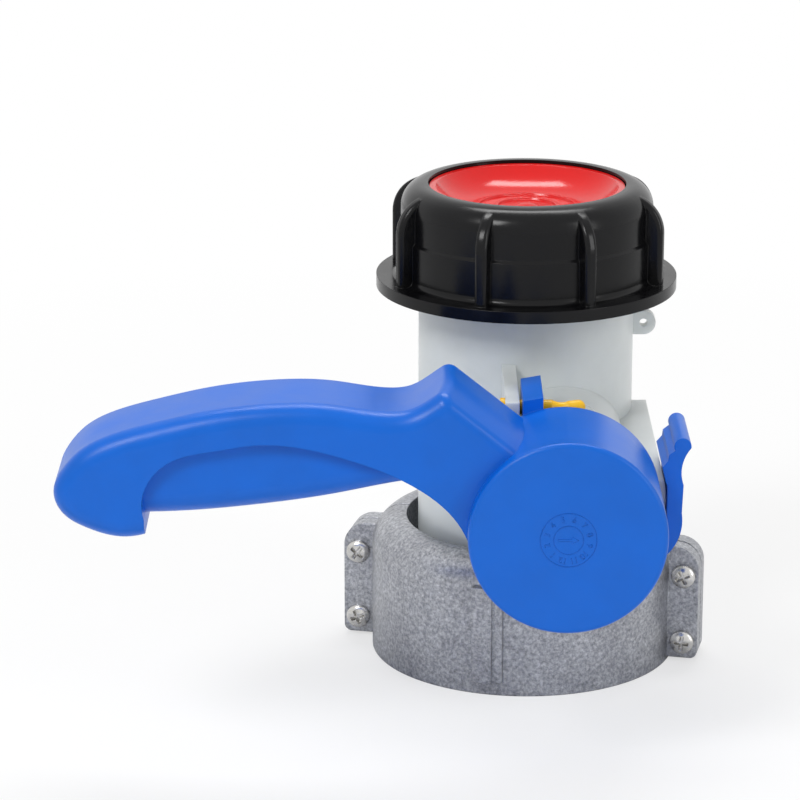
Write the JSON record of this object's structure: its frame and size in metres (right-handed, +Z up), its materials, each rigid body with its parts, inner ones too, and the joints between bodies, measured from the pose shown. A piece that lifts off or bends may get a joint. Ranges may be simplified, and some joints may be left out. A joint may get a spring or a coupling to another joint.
{
  "type": "ibc tank valve",
  "caption": "Two-inch butterfly valve for a bulk container: clamp foot, moulded pipe body, lever handle with spring latch, tamper pin and screwed outlet cap.",
  "frame": {"origin": "centre of the clamp's lower mouth, where the tank neck enters", "axes": "+Z up the pipe to the capped outlet, -X along the closed handle, -Y out of the handle's hub face"},
  "size_m": [0.1694, 0.1396, 0.1309],
  "materials": {
    "hdpe_natural": "milky moulded polyethylene",
    "handle_blue": "satin moulded polypropylene",
    "cap_black": "glossy moulded polypropylene",
    "insert_red": "glossy moulded polyethylene",
    "pin_yellow": "moulded polyethylene",
    "cast_aluminium": "tumbled die casting",
    "screw_steel": "plain stainless steel",
    "seal_rubber": "moulded EPDM"
  },
  "bodies": {
    "valve": {"valve_body": "hdpe_natural", "stem_bush_front": "hdpe_natural", "stem_bush_rear": "hdpe_natural", "stem_o_rings": "seal_rubber", "clamp_front_half": "cast_aluminium", "clamp_rear_half": "cast_aluminium", "clamp_screws": "screw_steel", "clamp_nuts": "screw_steel", "tank_gasket": "seal_rubber", "seal_pin_lug_half": "pin_yellow"},
    "handle": {"handle": "handle_blue", "stem": "screw_steel", "butterfly_disc": "hdpe_natural", "disc_seal": "seal_rubber", "disc_screws": "screw_steel", "seal_pin_tab_half": "pin_yellow"},
    "latch": {"latch_lever": "handle_blue"},
    "cap_insert": {"cap_disc": "insert_red", "cap_gasket": "seal_rubber"},
    "cap_ring": {"cap_ring": "cap_black"}
  },
  "joints": [
    {"name": "handle_turn", "type": "hinge", "parent": "valve", "child": "handle", "pos_m": [0.0075, 0, 0.064], "axis": [0, 1, 0], "range_deg": [0, 90]},
    {"name": "latch_flex", "type": "hinge", "parent": "handle", "child": "latch", "pos_m": [0.02788, -0.0578, 0.04802], "axis": [0, 1, 0], "range_deg": [0, 6], "stiffness_Nm_per_rad": 2},
    {"name": "cap_lift", "type": "slide", "parent": "valve", "child": "cap_insert", "axis": [0, 0, 1], "range_m": [0, 0.0181]},
    {"name": "cap_turn", "type": "hinge", "parent": "cap_insert", "child": "cap_ring", "pos_m": [0, 0, 0.1025], "axis": [0, 0, 1], "range_deg": [0, 1080]}
  ],
  "couplings": [
    {"joint": "cap_lift", "follows": "cap_turn", "m_per_rad": 0.00095493}
  ]
}
